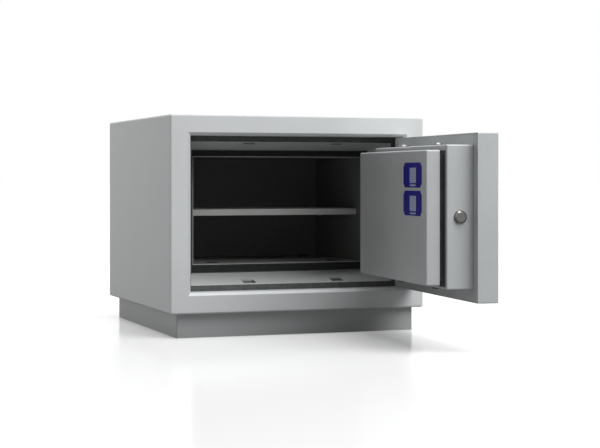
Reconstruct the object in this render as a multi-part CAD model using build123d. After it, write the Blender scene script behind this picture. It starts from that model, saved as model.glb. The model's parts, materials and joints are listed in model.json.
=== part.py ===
from build123d import *
import os
from math import radians, sin

# A small fire-resistant document safe: an insulated steel cabinet on a plinth, with a
# stepped door that stands open on two pins inside the right-hand border of the mouth.
#
# Everything is drawn in millimetres in the body's own coordinates: x from its left
# side, y from its front face towards the back, z from its underside. The door is drawn
# shut and then swung open. The file's last step moves the origin to the floor, under
# the middle of the body.

# ---------------------------------------------------------------- body and plinth
body_width = 606.0
body_height = 440.0
body_depth = 588.0
shell_sheet = 2.0
shell_edge_radius = 4.5
plinth_height = 54.0
plinth_setback_side = 19.0
plinth_setback_front = 20.0
plinth_sheet = 2.0
plinth_flange = 28.0
seat_gap = 0.2                  # between pieces that are pushed together

# ---------------------------------------------------------------- mouth of the body
border_side = 40.7              # flat border around the mouth
border_level = 39.3
mouth_bevel = 6.5
frame_sheet = 3.0
frame_flange = 12.0
ledge_gap = 5.3                 # between the shut leaf and the frame's ledge
first_step_rise = 13.8
seal_clearance = 1.0            # between the shut door and the frame's seal
second_step_side = 12.5
second_step_bottom = 21.0
second_step_top = 17.0
wall_side = 93.0                # insulated wall, outside to inside
wall_bottom = 101.0
wall_top = 92.0
wall_back = 126.0
liner_sheet = 1.5
fill_gap = 0.5                  # between a board and the steel around it
seal_thick = 3.0
seal_margin = 1.5

# ---------------------------------------------------------------- shelf
shelf_sheet = 1.5
shelf_lip = 14.5
shelf_height = 110.5            # underside of the shelf over the inner floor
shelf_setback = 33.0            # behind the mouth of the liner
shelf_clearance = 1.0
shelf_back_clearance = 6.0
stud_radius = 4.0
stud_reach = 11.0
stud_from_shelf_end = 38.0
stud_gap = 0.3

# ---------------------------------------------------------------- door
door_gap = 3.3
leaf_depth = 44.7
leaf_sheet = 3.0
leaf_edge_radius = 2.5
plate_sheet = 3.0
lock_box_depth = 57.3
lock_box_sheet = 2.0
lock_box_gap_free = 2.5
lock_box_gap_hinge = 4.3
lock_box_gap_level = 5.0
box_edge_radius = 3.5
break_depth = 10.0
break_recess = 8.0
break_seal_width = 14.0
inner_box_depth = 29.0
inner_box_sheet = 2.0
inner_box_gap_side = 6.3
inner_box_gap_bottom = 4.5
inner_box_gap_top = 9.4
open_angle = 85.55              # how far the door stands open at rest

# ---------------------------------------------------------------- hinges
pivot_out = 10.7                # beyond the mouth's edge
pivot_depth = 11.5
barrel_radius = 10.0
pin_radius = 5.0
running_gap = 0.05
knuckle_height = 22.0
knuckle_gap = 0.6
hinge_from_mouth = 34.0
arm_half = 7.5
arm_in_leaf = 16.0
pocket_gap = 1.5
arm_from_shell = 8.0            # end of the frame knuckles' arms, inside the side wall

# ---------------------------------------------------------------- bolts and lock
bolt_radius = 13.0
bolt_chamfer = 3.0
bolt_length = 64.0
bolt_stub = 6.0                 # stands out of the lock box when drawn
bolt_throw = 18.0
bolt_above_leaf = 28.3          # from the leaf's back to the bolts' axes
bolt_spacing = 214.0
bolt_pair_offset = 8.0
slot_clearance = 2.0
keeper_sheet = 1.5
keeper_gap = 3.5
guide_length = 14.0
guide_ear = 16.0
guide_screw_radius = 3.0
guide_screw_inset = 7.0
guide_screw_head = 5.0
guide_ear_height = 12.0
guide_over_bolt = 5.0
slide_gap = 0.1
bar_sheet = 4.0
bar_height = 15.0
cross_bar_height = 18.0
cam_radius = 21.0
cam_thick = 5.0
cam_layer_gap = 2.5
cam_pin_radius = 3.5
yoke_play = 0.7
yoke_wall = 4.0
spindle_radius = 6.0
bush_wall = 3.0
bush_reach = 6.0                # of the bush, behind the leaf
spindle_in_hub = 18.0
rose_radius = 26.0
rose_thick = 6.0
hub_radius = 15.0
hub_length = 26.0
lever_length = 112.0
lever_width = 22.0
lever_thick = 12.0
lever_in_hub = 2.0
yoke_end = 5.0                  # of the side bar past its fork
pin_past_bar = 0.5
key_above_handle = 62.0
key_radius = 4.5
lock_width = 80.0
lock_to_bolt = 3.0
key_from_lock_edge = 21.0
lock_height = 76.0
lock_thick = 16.0
lock_wall = 2.5
lock_cover_sheet = 2.0
lock_screw_radius = 2.5
lock_screw_inset = 7.0
lock_screw_head = 3.0
lock_post_radius = 5.0
lever_plate = 1.6
lever_plates = 5
lever_plate_gap = 0.4
lever_plate_margin = 14.0
lever_plate_above_key = 9.0
lever_plate_height = 21.0
lever_post_radius = 3.0
lever_post_inset = 20.0
lever_post_above_key = 19.0
deadbolt_inset = 18.0
deadbolt_length = 28.0
deadbolt_below_key = 10.0
deadbolt_gap = 1.0
escutcheon_width = 32.0
escutcheon_height = 58.0
escutcheon_thick = 3.0
cover_thick = 1.6
cover_gap = 0.3
cover_pivot_above_key = 20.0
cover_eye_radius = 7.0
cover_disc_radius = 12.0
cover_disc_below_key = 3.0
keyhole_slot_half = 1.6
keyhole_slot_length = 12.0
rivet_radius = 2.0
rivet_head_radius = 4.0
rivet_head = 1.5
label_width = 110.0
label_height = 51.0
label_thick = 0.8
label_from_free = 26.0
label_from_top = 25.0
label_gap = 6.5
label_corner = 3.0

# ---------------------------------------------------------------- floor anchors
anchor_spacing_x = 300.0
anchor_spacing_y = 200.0
anchor_hole_radius = 7.0
tube_bore = 8.5
tube_wall = 2.5
crossbar_width = 50.0
crossbar_thick = 5.0
cap_flange = 14.0
cap_thick = 1.5
cap_stem = 9.0
plinth_bolt_radius = 4.0
plinth_bolt_inset = 15.0
plinth_bolt_length = 16.0
hex_across = 13.0
hex_height = 5.3
nut_height = 7.0
nut_room_gap = 1.0

# ================================================================ simple shapes


def block(x0, x1, y0, y1, z0, z1):
    """A box between two corners."""
    middle = Pos((x0 + x1) / 2, (y0 + y1) / 2, (z0 + z1) / 2)
    return middle * Box(x1 - x0, y1 - y0, z1 - z0)


def slab(rect, y0, y1):
    """A box with the outline rect (x0, x1, z0, z1), between two depths."""
    return block(rect[0], rect[1], y0, y1, rect[2], rect[3])


def grow(rect, by):
    """The outline moved outwards on all four sides."""
    return (rect[0] - by, rect[1] + by, rect[2] - by, rect[3] + by)


def inset(side, bottom, top):
    """The outline that lies this far inside the body's outline."""
    return (side, body_width - side, bottom, body_height - top)


def section(rect, y):
    """A flat rectangle across the depth, at y."""
    centre = ((rect[0] + rect[1]) / 2, y, (rect[2] + rect[3]) / 2)
    plane = Plane(origin=centre, x_dir=(1, 0, 0), z_dir=(0, 1, 0))
    return plane * Rectangle(rect[1] - rect[0], rect[3] - rect[2])


def funnel(rect0, y0, rect1, y1):
    """A straight-sided solid from one outline to another."""
    return loft([section(rect0, y0), section(rect1, y1)], ruled=True)


def rod(axis, start, end, a, b, radius):
    """A round bar along x, y or z. a and b are its place on the other two axes."""
    middle = (start + end) / 2
    places = {"x": (middle, a, b), "y": (a, middle, b), "z": (a, b, middle)}
    turns = {"x": (0, 90, 0), "y": (90, 0, 0), "z": (0, 0, 0)}
    return Pos(*places[axis]) * Rotation(*turns[axis]) * Cylinder(radius, end - start)


def pan(rect, y0, y1, sheet, radius):
    """A folded box, closed at the y1 end, with rounded corners and rim."""
    solid = slab(rect, y0, y1)
    corners = solid.edges().filter_by(Axis.Y)
    solid = fillet(corners, radius)
    rim = solid.edges().group_by(Axis.Y)[-1]
    solid = fillet(rim, radius - 0.5)
    return solid - slab(grow(rect, -sheet), y0 - 1, y1 - sheet)


# ================================================================ outlines and depths

lock_box_end = leaf_depth + lock_box_depth
break_end = lock_box_end + break_depth
door_end = break_end + inner_box_depth
first_step_depth = leaf_depth + ledge_gap
reveal_end_depth = door_end + seal_clearance + seal_thick
bolt_axis_depth = leaf_depth + bolt_above_leaf

border = inset(border_side, border_level, border_level)
mouth = grow(border, -mouth_bevel)
ledge = grow(mouth, -first_step_rise)
inside = inset(wall_side, wall_bottom, wall_top)
reveal_end = inset(
    wall_side - second_step_side,
    wall_bottom - second_step_bottom,
    wall_top - second_step_top,
)
back = body_depth - wall_back
liner_front = reveal_end_depth + frame_sheet + seat_gap
shell_inside = (
    shell_sheet + fill_gap,
    body_width - shell_sheet - fill_gap,
    shell_sheet + fill_gap,
    body_height - shell_sheet - fill_gap,
)


def reveal_at(depth):
    """The sloping reveal's outline at a depth."""
    share = (depth - first_step_depth) / (reveal_end_depth - first_step_depth)
    return tuple(a + (b - a) * share for a, b in zip(ledge, reveal_end))


leaf = grow(mouth, -door_gap)
at_lock_box = reveal_at(lock_box_end)
lock_box = (
    at_lock_box[0] + lock_box_gap_free,
    at_lock_box[1] - lock_box_gap_hinge,
    at_lock_box[2] + lock_box_gap_level,
    at_lock_box[3] - lock_box_gap_level,
)
at_door_end = reveal_at(door_end)
inner_box = (
    at_door_end[0] + inner_box_gap_side,
    at_door_end[1] - inner_box_gap_side,
    at_door_end[2] + inner_box_gap_bottom,
    at_door_end[3] - inner_box_gap_top,
)

pivot_x = mouth[1] + pivot_out
hinge_height = 3 * knuckle_height + 2 * knuckle_gap
hinge_feet = (mouth[2] + hinge_from_mouth, mouth[3] - hinge_from_mouth - hinge_height)

bolt_middle = (lock_box[0] + lock_box[1]) / 2 + bolt_pair_offset
bolt_xs = (bolt_middle - bolt_spacing / 2, bolt_middle + bolt_spacing / 2)
slot_reach = bolt_radius + slot_clearance
side_bolt_height = (lock_box[2] + lock_box[3]) / 2
lock_x0 = bolt_xs[0] + bolt_radius + lock_to_bolt
lock_x1 = lock_x0 + lock_width
handle_x = lock_x0 + key_from_lock_edge
handle_z = side_bolt_height - bar_height / 2 - spindle_radius - 1
key_z = handle_z + key_above_handle

plinth_x0 = plinth_setback_side
plinth_x1 = body_width - plinth_setback_side
plinth_y0 = plinth_setback_front
plinth_y1 = body_depth - plinth_setback_front
plinth_bolt_places = [
    (x, y)
    for x in (plinth_x0 + plinth_bolt_inset, plinth_x1 - plinth_bolt_inset)
    for y in (plinth_y0 + plinth_bolt_inset, plinth_y1 - plinth_bolt_inset)
]
anchor_places = [
    (body_width / 2 + sx * anchor_spacing_x / 2, body_depth / 2 + sy * anchor_spacing_y / 2)
    for sx in (-1, 1)
    for sy in (-1, 1)
]

place = Pos(-body_width / 2, -body_depth / 2, plinth_height)
hinge_axis = Axis((pivot_x, pivot_depth, 0), (0, 0, 1))

os.makedirs("parts", exist_ok=True)


def save(name, *solids, on_door=False):
    """Writes one node: its solids where they stand with the door open."""
    found = [piece for shape in solids for piece in shape.solids()]
    if on_door:
        found = [piece.rotate(hinge_axis, open_angle) for piece in found]
    export_step(Compound([place * piece for piece in found]), f"parts/{name}.step")


# ================================================================ the bolts' directions
# Each bolt: its axis, which way it is thrown, where the lock box wall stands, and its
# place along the wall.
bolts = [("x", -1, lock_box[0], side_bolt_height)]
bolts += [("z", 1, lock_box[3], x) for x in bolt_xs]
bolts += [("z", -1, lock_box[2], x) for x in bolt_xs]


def along(axis, y0, y1, from_wall, to_wall, wall, way, across, half):
    """A box over a bolt: depth range, distances past the wall, and half its width."""
    ends = sorted((wall + way * from_wall, wall + way * to_wall))
    if axis == "x":
        return block(*ends, y0, y1, across - half, across + half)
    return block(across - half, across + half, y0, y1, *ends)


def round_along(axis, wall, way, across, from_wall, to_wall, radius):
    """A round bar on a bolt's axis, from one distance past the wall to another."""
    ends = sorted((wall + way * from_wall, wall + way * to_wall))
    if axis == "x":
        return rod("x", *ends, bolt_axis_depth, across, radius)
    return rod("z", *ends, across, bolt_axis_depth, radius)


slot_depth = bolt_stub + bolt_throw + keeper_gap
slots = []
keeper_boxes = []
keeper_hollows = []
for axis, way, wall, across in bolts:
    y0 = bolt_axis_depth - slot_reach
    y1 = bolt_axis_depth + slot_reach
    slots.append(along(axis, y0, y1, 0, slot_depth, wall, way, across, slot_reach))
    hollow = along(axis, y0, y1, -1, slot_depth, wall, way, across, slot_reach)
    outside = along(
        axis, y0 - keeper_sheet, y1 + keeper_sheet, -1, slot_depth + keeper_sheet,
        wall, way, across, slot_reach + keeper_sheet,
    )
    keeper_hollows.append(hollow)
    keeper_boxes.append(outside)

# ================================================================ cabinet: frame

pocket_x1 = pivot_x + barrel_radius + pocket_gap
pocket_y1 = pivot_depth + barrel_radius + pocket_gap
pockets = []
for foot in hinge_feet:
    pockets.append(
        block(
            mouth[1] - 1, pocket_x1, -1, pocket_y1,
            foot - pocket_gap, foot + hinge_height + pocket_gap,
        )
    )


def frame_outside(extra):
    """The back of the folded frame, as solids that fill it to the middle."""
    metal = frame_sheet + extra
    collar = slab(grow(mouth, metal), 0, first_step_depth + metal)
    bevel_band = slab(grow(border, extra - seat_gap), 0, mouth_bevel + metal)
    slope = funnel(
        grow(ledge, metal), first_step_depth, grow(reveal_end, metal), reveal_end_depth
    )
    end = slab(
        grow(reveal_end, metal), reveal_end_depth - 0.01, reveal_end_depth + metal
    )
    return [collar, bevel_band, slope, end]


frame = slab(grow(border, frame_flange), shell_sheet + seat_gap, shell_sheet + frame_sheet)
for solid in frame_outside(0):
    frame += solid
frame -= funnel(grow(border, -seat_gap - 0.3), 0, mouth, mouth_bevel)
frame -= slab(grow(border, -seat_gap - 0.3), -1, 0.01)
frame -= slab(mouth, mouth_bevel - 0.01, first_step_depth)
frame -= funnel(ledge, first_step_depth, reveal_end, reveal_end_depth)
frame -= slab(inside, reveal_end_depth - 1, reveal_end_depth + frame_sheet + 1)
for cut in slots + pockets:
    frame -= cut
save("front_frame", frame)

# a heat-swelling strip on the frame's last step, facing the door's inner box
seal = slab(
    grow(reveal_end, -seal_margin), reveal_end_depth - seal_thick, reveal_end_depth
)
seal -= slab(
    grow(inside, seal_margin), reveal_end_depth - seal_thick - 1, reveal_end_depth + 1
)
save("frame_seal", seal)

# the fire boards behind the frame, one along each side of the mouth
fill_start = shell_sheet + frame_sheet + fill_gap
fill_end = reveal_end_depth + frame_sheet + fill_gap
fill = slab(shell_inside, fill_start, fill_end)
fill -= slab(inside, fill_start - 1, fill_end + 1)
for solid in frame_outside(fill_gap):
    fill -= solid
for cut in keeper_boxes + pockets:
    fill -= cut
tail_y0 = pivot_depth - arm_half
tail_x1 = body_width - shell_sheet - fill_gap - arm_from_shell
tails = []
for foot in hinge_feet:
    tails.append(
        block(
            pocket_x1 - 1, tail_x1 + fill_gap, tail_y0 - fill_gap,
            pivot_depth + arm_half + fill_gap,
            foot - fill_gap, foot + hinge_height + fill_gap,
        )
    )
for cut in tails:
    fill -= cut
top_line = inside[3]
bottom_line = inside[2]
beyond = body_width + body_height
regions = {
    "frame_board_top": block(-beyond, beyond, -beyond, beyond, top_line, beyond),
    "frame_board_bottom": block(
        -beyond, beyond, -beyond, beyond, -beyond, bottom_line
    ),
    "frame_board_left": block(
        -beyond, body_width / 2, -beyond, beyond,
        bottom_line + seat_gap, top_line - seat_gap,
    ),
    "frame_board_right": block(
        body_width / 2, beyond, -beyond, beyond,
        bottom_line + seat_gap, top_line - seat_gap,
    ),
}
nut_room = []
for x, y in plinth_bolt_places:
    room_top = shell_sheet + plinth_bolt_length + 2 * nut_room_gap
    room_radius = hex_across * 0.6 + nut_room_gap
    nut_room.append(rod("z", 0, room_top, x, y, room_radius))
for cut in nut_room:
    fill -= cut
for name, region in regions.items():
    save(name, fill & region)

# ================================================================ cabinet: shells

shell = block(0, body_width, 0, body_depth, 0, body_height)
shell = fillet(shell.edges().filter_by(Axis.Y), shell_edge_radius)
shell = fillet(shell.edges().group_by(Axis.Y)[0], shell_edge_radius - 0.5)
shell -= block(
    shell_sheet, body_width - shell_sheet, shell_sheet, body_depth + 1,
    shell_sheet, body_height - shell_sheet,
)
shell -= slab(border, -1, shell_sheet + 1)
for cut in pockets:
    shell -= cut

tube_radius = tube_bore + tube_wall
for x, y in plinth_bolt_places:
    shell -= rod("z", -1, shell_sheet + 1, x, y, plinth_bolt_radius + fill_gap)
for x, y in anchor_places:
    shell -= rod("z", -1, shell_sheet + 1, x, y, tube_radius + seat_gap)
save("outer_shell", shell)

back_panel = block(
    shell_sheet + seat_gap, body_width - shell_sheet - seat_gap,
    body_depth - shell_sheet, body_depth,
    shell_sheet + seat_gap, body_height - shell_sheet - seat_gap,
)
save("back_panel", back_panel)

liner = slab(grow(inside, liner_sheet), liner_front, back + liner_sheet)
liner -= slab(inside, liner_front - 1, back)
stud_z = wall_bottom + shelf_height - stud_radius - stud_gap
shelf_y0 = liner_front + shelf_setback
shelf_y1 = back - shelf_back_clearance
stud_ys = (shelf_y0 + stud_from_shelf_end, shelf_y1 - stud_from_shelf_end)
studs = []
stud_holes = []
for y in stud_ys:
    for wall, way in ((inside[0], 1), (inside[1], -1)):
        reach = sorted((wall, wall + way * stud_reach))
        stem = sorted((wall - way * (liner_sheet + 8), wall))
        stud = rod("x", *reach, y, stud_z, stud_radius)
        studs.append(stud + rod("x", *stem, y, stud_z, stud_radius - 1))
        stem = sorted((wall - way * (liner_sheet + 9), wall + way))
        stud_holes.append(rod("x", *stem, y, stud_z, stud_radius - 0.8))
for cut in stud_holes:
    liner -= cut
for x, y in anchor_places:
    liner -= rod("z", wall_bottom - 5, wall_bottom + 1, x, y, tube_radius + seat_gap)
save("inner_liner", liner)
save("shelf_studs", *studs)

# ================================================================ cabinet: fire boards

board_start = fill_end + seat_gap
board_end = body_depth - shell_sheet - fill_gap
liner_outside = grow(inside, liner_sheet + fill_gap)
left, right, floor, roof = shell_inside
lx0, lx1, lz0, lz1 = liner_outside
back_start = back + liner_sheet + fill_gap
board_top = block(left, right, board_start, board_end, lz1, roof)
board_bottom = block(left, right, board_start, board_end, floor, lz0)
board_left = block(
    left, lx0, board_start, board_end, lz0 + seat_gap, lz1 - seat_gap
)
board_right = block(
    lx1, right, board_start, board_end, lz0 + seat_gap, lz1 - seat_gap
)
board_back = block(
    lx0 + seat_gap, lx1 - seat_gap, back_start, board_end,
    lz0 + seat_gap, lz1 - seat_gap,
)
for cut in stud_holes:
    board_left -= cut
    board_right -= cut
for x, y in anchor_places:
    board_bottom -= rod("z", -1, lz0 + 1, x, y, tube_radius + fill_gap)
for cut in nut_room:
    board_bottom -= cut
save("fire_board_top", board_top)
save("fire_board_bottom", board_bottom)
save("fire_board_left", board_left)
save("fire_board_right", board_right)
save("fire_board_back", board_back)

# the boxes that the thrown bolts enter, behind the frame's slots
keepers = []
frame_back = frame_outside(seat_gap)
for box, hollow in zip(keeper_boxes, keeper_hollows):
    keeper = box - hollow
    for solid in frame_back:
        keeper -= solid
    keepers.append(keeper)
save("bolt_keepers", *keepers)

# ================================================================ plinth and anchors

plinth = block(plinth_x0, plinth_x1, plinth_y0, plinth_y1, -plinth_height, 0)
plinth = fillet(plinth.edges().filter_by(Axis.Z), 2 * plinth_sheet)
plinth -= block(
    plinth_x0 + plinth_sheet, plinth_x1 - plinth_sheet,
    plinth_y0 + plinth_sheet, plinth_y1 - plinth_sheet,
    -plinth_height - 1, -plinth_sheet,
)
plinth -= block(
    plinth_x0 + plinth_flange, plinth_x1 - plinth_flange,
    plinth_y0 + plinth_flange, plinth_y1 - plinth_flange,
    -plinth_sheet - 1, 1,
)
for x, y in plinth_bolt_places:
    plinth -= rod("z", -plinth_sheet - 1, 1, x, y, plinth_bolt_radius + fill_gap)
save("plinth_frame", plinth)


def hexagon(x, y, z0, height):
    """A six-sided bolt head or nut."""
    outline = RegularPolygon(hex_across / 2, 6, major_radius=False)
    return Pos(x, y, z0) * extrude(outline, height)


plinth_bolts = []
plinth_nuts = []
for x, y in plinth_bolt_places:
    head = hexagon(x, y, -plinth_sheet - hex_height, hex_height)
    shank = rod(
        "z", -plinth_sheet, plinth_bolt_length - plinth_sheet, x, y, plinth_bolt_radius
    )
    plinth_bolts.append(head + shank)
    nut = hexagon(x, y, shell_sheet, nut_height)
    plinth_nuts.append(
        nut - rod("z", 0, nut_height + 4, x, y, plinth_bolt_radius)
    )
save("plinth_bolts", *plinth_bolts)
save("plinth_nuts", *plinth_nuts)

crossbars = []
for side in (-1, 1):
    y = body_depth / 2 + side * anchor_spacing_y / 2
    bar = block(
        plinth_x0 + plinth_sheet + seat_gap, plinth_x1 - plinth_sheet - seat_gap,
        y - crossbar_width / 2, y + crossbar_width / 2,
        -plinth_height, crossbar_thick - plinth_height,
    )
    for x, hole_y in anchor_places:
        bar -= rod(
            "z", -plinth_height - 1, crossbar_thick - plinth_height + 1,
            x, hole_y, anchor_hole_radius,
        )
    crossbars.append(bar)
save("plinth_crossbars", *crossbars)

tubes = []
caps = []
tube_foot = crossbar_thick - plinth_height
for x, y in anchor_places:
    tube = rod("z", tube_foot, wall_bottom, x, y, tube_radius)
    tubes.append(tube - rod("z", tube_foot - 1, wall_bottom + 1, x, y, tube_bore))
    cap = rod("z", wall_bottom, wall_bottom + cap_thick, x, y, cap_flange)
    caps.append(cap + rod("z", wall_bottom - cap_stem, wall_bottom, x, y, tube_bore - seat_gap))
save("anchor_tubes", *tubes)
save("anchor_caps", *caps)

# ================================================================ shelf

shelf_x0 = inside[0] + shelf_clearance
shelf_x1 = inside[1] - shelf_clearance
shelf_z0 = wall_bottom + shelf_height
shelf = block(shelf_x0, shelf_x1, shelf_y0, shelf_y1, shelf_z0, shelf_z0 + shelf_lip)
shelf = fillet(shelf.edges().group_by(Axis.Z)[-1].filter_by(Axis.X), shelf_sheet)
shelf -= block(
    shelf_x0 + shelf_sheet, shelf_x1 - shelf_sheet,
    shelf_y0 + shelf_sheet, shelf_y1 - shelf_sheet,
    shelf_z0 - 1, shelf_z0 + shelf_lip - shelf_sheet,
)
save("shelf", shelf)

# ================================================================ hinges
# Each hinge has three knuckles on one pin: the frame's, the door's, the frame's.

frame_knuckles = []
door_knuckles = []
hinge_pins = []
arm_rooms = []
for foot in hinge_feet:
    door_z0 = foot + knuckle_height + knuckle_gap
    door_z1 = door_z0 + knuckle_height
    for z0 in (foot, door_z1 + knuckle_gap):
        knuckle = rod(
            "z", z0, z0 + knuckle_height, pivot_x, pivot_depth, barrel_radius
        )
        knuckle += block(
            pivot_x, tail_x1, tail_y0, pivot_depth + arm_half, z0, z0 + knuckle_height
        )
        bore = rod("z", z0 - 1, z0 + knuckle_height + 1, pivot_x, pivot_depth, pin_radius)
        frame_knuckles.append(knuckle - bore)
    knuckle = rod("z", door_z0, door_z1, pivot_x, pivot_depth, barrel_radius)
    arm_x0 = leaf[1] - arm_in_leaf
    knuckle += block(
        arm_x0, pivot_x, tail_y0, pivot_depth + arm_half, door_z0, door_z1
    )
    knuckle -= rod(
        "z", door_z0 - 1, door_z1 + 1, pivot_x, pivot_depth, pin_radius + running_gap
    )
    door_knuckles.append(knuckle)
    arm_rooms.append(
        block(
            arm_x0 - seat_gap, leaf[1] + 1, tail_y0 - seat_gap,
            pivot_depth + arm_half + seat_gap, door_z0 - seat_gap, door_z1 + seat_gap,
        )
    )
    hinge_pins.append(
        rod("z", foot, foot + hinge_height, pivot_x, pivot_depth, pin_radius)
    )
save("hinge_frame_knuckles", *frame_knuckles)
save("hinge_door_knuckles", *door_knuckles, on_door=True)
save("hinge_pins", *hinge_pins)

# ================================================================ door leaf

bush_radius = spindle_radius + running_gap + bush_wall
spindle_room = rod(
    "y", -1, lock_box_end, handle_x, handle_z, bush_radius + seat_gap
)
key_room = rod("y", -1, leaf_depth + 1, handle_x, key_z, key_radius)

front_panel = slab(leaf, 0, leaf_depth)
front_panel = fillet(front_panel.edges().filter_by(Axis.Y), leaf_edge_radius)
front_panel = fillet(front_panel.edges().group_by(Axis.Y)[0], leaf_edge_radius - 0.5)
front_panel -= slab(grow(leaf, -leaf_sheet), leaf_sheet, leaf_depth + 1)
leaf_inside = grow(leaf, -leaf_sheet - seat_gap)
plate_start = leaf_depth - plate_sheet
back_plate = slab(leaf_inside, plate_start, leaf_depth)
leaf_board = slab(
    grow(leaf_inside, -fill_gap), leaf_sheet + fill_gap, plate_start - fill_gap
)
for cut in arm_rooms + [spindle_room, key_room]:
    front_panel -= cut
    leaf_board -= cut
back_plate -= spindle_room
back_plate -= key_room

# ================================================================ boltwork guides

guides = []
guide_screws = []
guide_y1 = bolt_axis_depth + bolt_radius + guide_over_bolt
screw_seat = leaf_depth + guide_ear_height
guide_start = -lock_box_sheet - seat_gap
for axis, way, wall, across in bolts:
    half = bolt_radius + guide_ear
    guide = along(
        axis, leaf_depth, guide_y1, guide_start, guide_start - guide_length,
        wall, way, across, half,
    )
    for side in (-1, 1):
        ear = across + side * half
        guide -= along(
            axis, screw_seat, guide_y1 + 1, 5, -guide_length - 9,
            wall, way, ear, guide_ear - 2,
        )
    guide -= round_along(
        axis, wall, way, across, 5, -guide_length - 9, bolt_radius + slide_gap
    )
    middle = wall + way * (guide_start - guide_length / 2)
    for side in (-1, 1):
        spot = across + side * (half - guide_screw_inset)
        x, z = (middle, spot) if axis == "x" else (spot, middle)
        guide -= rod("y", leaf_depth - 1, screw_seat + 1, x, z, guide_screw_radius + seat_gap)
        back_plate -= rod(
            "y", plate_start - 1, leaf_depth + 1, x, z, guide_screw_radius
        )
        screw = rod(
            "y", screw_seat, screw_seat + guide_screw_head, x, z, guide_screw_radius + 2
        )
        screw += rod("y", plate_start, screw_seat, x, z, guide_screw_radius)
        guide_screws.append(screw)
    guides.append(guide)
save("bolt_guides", *guides, on_door=True)
save("guide_screws", *guide_screws, on_door=True)

# ================================================================ lock

lock_z0 = key_z - lock_height / 2
lock_z1 = key_z + lock_height / 2
lock_end = leaf_depth + lock_thick
lock_case = block(lock_x0, lock_x1, leaf_depth, lock_end, lock_z0, lock_z1)
lock_case -= block(
    lock_x0 + lock_wall, lock_x1 - lock_wall, leaf_depth + lock_wall, lock_end + 1,
    lock_z0 + lock_wall, lock_z1 - lock_wall,
)
lock_case -= key_room
lock_cover_end = lock_end + lock_cover_sheet
lock_cover = block(lock_x0, lock_x1, lock_end, lock_cover_end, lock_z0, lock_z1)
lever_z0 = key_z + lever_plate_above_key
post_x = lock_x1 - lever_post_inset
post_z = key_z + lever_post_above_key
lock_levers = []
for n in range(lever_plates):
    y0 = leaf_depth + lock_wall + 1 + n * (lever_plate + lever_plate_gap)
    plate = block(
        lock_x0 + lever_plate_margin, lock_x1 - lever_plate_margin,
        y0, y0 + lever_plate, lever_z0, lever_z0 + lever_plate_height,
    )
    pivot = rod(
        "y", y0 - 1, y0 + lever_plate + 1, post_x, post_z, lever_post_radius + seat_gap
    )
    lock_levers.append(plate - pivot)
lever_post = rod(
    "y", leaf_depth + lock_wall, lock_end - 1, post_x, post_z, lever_post_radius
)
deadbolt = block(
    lock_x1 - deadbolt_inset - deadbolt_length, lock_x1 - deadbolt_inset,
    leaf_depth + lock_wall + deadbolt_gap, lock_end - 2 * deadbolt_gap,
    lock_z0 + lock_wall + deadbolt_gap, key_z - deadbolt_below_key,
)
lock_screws = []
for x in (lock_x0 + lock_screw_inset, lock_x1 - lock_screw_inset):
    for z in (lock_z0 + lock_screw_inset, lock_z1 - lock_screw_inset):
        post = rod("y", leaf_depth + lock_wall, lock_end, x, z, lock_post_radius)
        lock_case += post
        hole = rod("y", plate_start, lock_cover_end + 1, x, z, lock_screw_radius)
        lock_case -= hole
        lock_cover -= hole
        back_plate -= hole
        screw = rod("y", plate_start, lock_cover_end, x, z, lock_screw_radius)
        screw += rod(
            "y", lock_cover_end, lock_cover_end + lock_screw_head, x, z,
            lock_screw_radius + 2,
        )
        lock_screws.append(screw)
save("lock_case", lock_case, on_door=True)
save("lock_cover", lock_cover, on_door=True)
save("lock_levers", *lock_levers, on_door=True)
save("lock_lever_post", lever_post, on_door=True)
save("lock_deadbolt", deadbolt, on_door=True)
save("lock_screws", *lock_screws, on_door=True)
save("door_front_panel", front_panel, on_door=True)
save("door_back_plate", back_plate, on_door=True)
save("leaf_fire_board", leaf_board, on_door=True)

bush_end = leaf_depth + bush_reach
bush = rod("y", 0, bush_end, handle_x, handle_z, bush_radius)
bush -= rod("y", -1, bush_end + 1, handle_x, handle_z, spindle_radius + running_gap)
save("spindle_bush", bush, on_door=True)

# ================================================================ boxes on the leaf

lock_pan = pan(lock_box, leaf_depth + seat_gap, lock_box_end, lock_box_sheet, box_edge_radius)
for axis, way, wall, across in bolts:
    lock_pan -= round_along(
        axis, wall, way, across, 5, -lock_box_sheet - 3, bolt_radius + fill_gap
    )
save("lock_box", lock_pan, on_door=True)

break_outline = grow(inner_box, -break_recess)
break_board = slab(
    grow(break_outline, -break_seal_width - seat_gap),
    lock_box_end + seat_gap, break_end - seat_gap,
)
break_seal = slab(break_outline, lock_box_end + seat_gap, break_end - seat_gap)
break_seal -= slab(
    grow(break_outline, -break_seal_width), lock_box_end - 1, break_end + 1
)
save("break_board", break_board, on_door=True)
save("break_seal", break_seal, on_door=True)

inner_pan = pan(inner_box, break_end, door_end, inner_box_sheet, box_edge_radius)
inner_board = slab(
    grow(inner_box, -inner_box_sheet - fill_gap), break_end,
    door_end - inner_box_sheet - fill_gap,
)
save("inner_door_box", inner_pan, on_door=True)
save("inner_fire_board", inner_board, on_door=True)

label_x0 = inner_box[0] + label_from_free
label_z1 = inner_box[3] - label_from_top
for n, name in enumerate(("upper_label_plate", "lower_label_plate")):
    top = label_z1 - n * (label_height + label_gap)
    plate = block(
        label_x0, label_x0 + label_width, door_end, door_end + label_thick,
        top - label_height, top,
    )
    plate = fillet(plate.edges().filter_by(Axis.Y), label_corner)
    save(name, plate, on_door=True)

# ================================================================ bolts and their bars

side_layer = bolt_axis_depth - cam_thick / 2 - cam_layer_gap - bar_sheet
pair_layer = bolt_axis_depth + cam_thick / 2 + cam_layer_gap
crank = bolt_throw / (2 * sin(radians(45)))
pin_offset = crank * sin(radians(45))
pin_room = cam_pin_radius + yoke_play
inner_end = bolt_length - bolt_stub

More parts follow.
